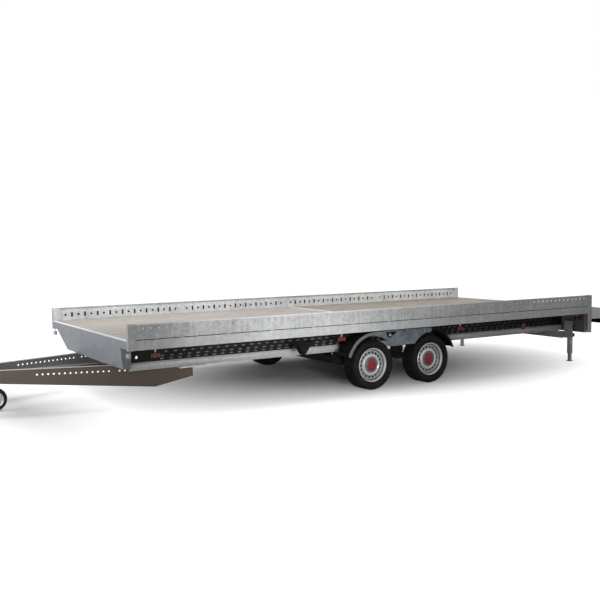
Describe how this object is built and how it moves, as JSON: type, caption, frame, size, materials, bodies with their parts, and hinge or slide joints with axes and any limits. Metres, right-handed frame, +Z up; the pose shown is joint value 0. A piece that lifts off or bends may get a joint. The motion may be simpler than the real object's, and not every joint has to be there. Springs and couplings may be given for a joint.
{
  "type": "car transporter trailer",
  "caption": "Flat-bed trailer for carrying cars: low side rails with strap holes, boarded deck, twin axles, tapered drawbar with ball coupling, jockey wheel and rear legs.",
  "frame": {"origin": "on the floor under the middle of the trailer, between the coupling nose and the rear light bar", "axes": "+X forward to the coupling, +Y to the left side of the trailer, +Z up"},
  "size_m": [8.648, 2.4, 0.9],
  "materials": {
    "galvanised_steel": "spangled hot-dip zinc, satin",
    "tyre": "moulded rubber, matt",
    "wheel_steel": "silver painted steel",
    "drawbar_paint": "taupe powder coat, satin",
    "deck_board": "phenolic coated plywood",
    "black_steel": "black coated cast steel",
    "zinc_plate": "bright zinc plate",
    "gaiter_rubber": "matt rubber",
    "jockey_rubber": "solid rubber, matt",
    "guard_plastic": "black moulded plastic",
    "amber_lens": "amber lens",
    "red_lens": "red lens",
    "clear_lens": "clear lens"
  },
  "bodies": {
    "chassis": {"brake_rod": "zinc_plate", "corner_posts": "galvanised_steel", "coupling_handle": "black_steel", "coupling_head": "zinc_plate", "cross_members": "galvanised_steel", "deck_front_panel": "deck_board", "deck_joint_strip": "galvanised_steel", "deck_rear_panel": "deck_board", "drawbar_bridges": "drawbar_paint", "drawbar_clamps": "galvanised_steel", "edge_beams": "galvanised_steel", "front_apron": "galvanised_steel", "front_axle": "galvanised_steel", "front_position_lamps": "clear_lens", "gaiter": "gaiter_rubber", "handbrake_lever": "black_steel", "jockey_tube": "zinc_plate", "left_drawbar_arm": "drawbar_paint", "left_longitudinal": "black_steel", "left_mudguard": "guard_plastic", "left_side_rail": "galvanised_steel", "leg_beam": "galvanised_steel", "leg_tubes": "galvanised_steel", "loading_tail": "galvanised_steel", "lower_booms": "galvanised_steel", "overrun_housing": "black_steel", "rear_axle": "galvanised_steel", "rear_cross_member": "galvanised_steel", "rear_light_bar": "galvanised_steel", "right_drawbar_arm": "drawbar_paint", "right_longitudinal": "black_steel", "right_mudguard": "guard_plastic", "right_side_rail": "galvanised_steel", "side_marker_lamps": "amber_lens", "side_reflectors": "red_lens", "tail_brackets": "galvanised_steel", "tail_lamps": "red_lens", "wheel_chocks": "guard_plastic", "wheel_plates": "galvanised_steel"},
    "front_left_wheel": {"front_left_tyre": "tyre", "front_left_rim": "wheel_steel"},
    "front_right_wheel": {"front_right_tyre": "tyre", "front_right_rim": "wheel_steel"},
    "rear_left_wheel": {"rear_left_tyre": "tyre", "rear_left_rim": "wheel_steel"},
    "rear_right_wheel": {"rear_right_tyre": "tyre", "rear_right_rim": "wheel_steel"},
    "jockey_stem": {"jockey_stem": "zinc_plate"},
    "jockey_fork": {"jockey_fork": "zinc_plate"},
    "jockey_wheel": {"jockey_wheel": "jockey_rubber"},
    "left_leg": {"left_leg": "zinc_plate"},
    "right_leg": {"right_leg": "zinc_plate"}
  },
  "joints": [
    {"name": "front_left_wheel_spin", "type": "hinge", "parent": "chassis", "child": "front_left_wheel", "pos_m": [-0.434, 1.062, 0.2625], "axis": [0, 1, 0], "continuous": true},
    {"name": "front_right_wheel_spin", "type": "hinge", "parent": "chassis", "child": "front_right_wheel", "pos_m": [-0.434, -1.062, 0.2625], "axis": [0, 1, 0], "continuous": true},
    {"name": "rear_left_wheel_spin", "type": "hinge", "parent": "chassis", "child": "rear_left_wheel", "pos_m": [-1.227, 1.062, 0.2625], "axis": [0, 1, 0], "continuous": true},
    {"name": "rear_right_wheel_spin", "type": "hinge", "parent": "chassis", "child": "rear_right_wheel", "pos_m": [-1.227, -1.062, 0.2625], "axis": [0, 1, 0], "continuous": true},
    {"name": "jockey_screw", "type": "slide", "parent": "chassis", "child": "jockey_stem", "axis": [0, 0, 1], "range_m": [-0.08, 0.12]},
    {"name": "jockey_swivel", "type": "hinge", "parent": "jockey_stem", "child": "jockey_fork", "pos_m": [3.23, 0, 0.24], "axis": [0, 0, 1], "continuous": true},
    {"name": "jockey_wheel_spin", "type": "hinge", "parent": "jockey_fork", "child": "jockey_wheel", "pos_m": [3.16, 0, 0.11], "axis": [0, 1, 0], "continuous": true},
    {"name": "left_leg_slide", "type": "slide", "parent": "chassis", "child": "left_leg", "axis": [0, 0, 1], "range_m": [-0.1, 0.085]},
    {"name": "right_leg_slide", "type": "slide", "parent": "chassis", "child": "right_leg", "axis": [0, 0, 1], "range_m": [-0.1, 0.085]}
  ]
}
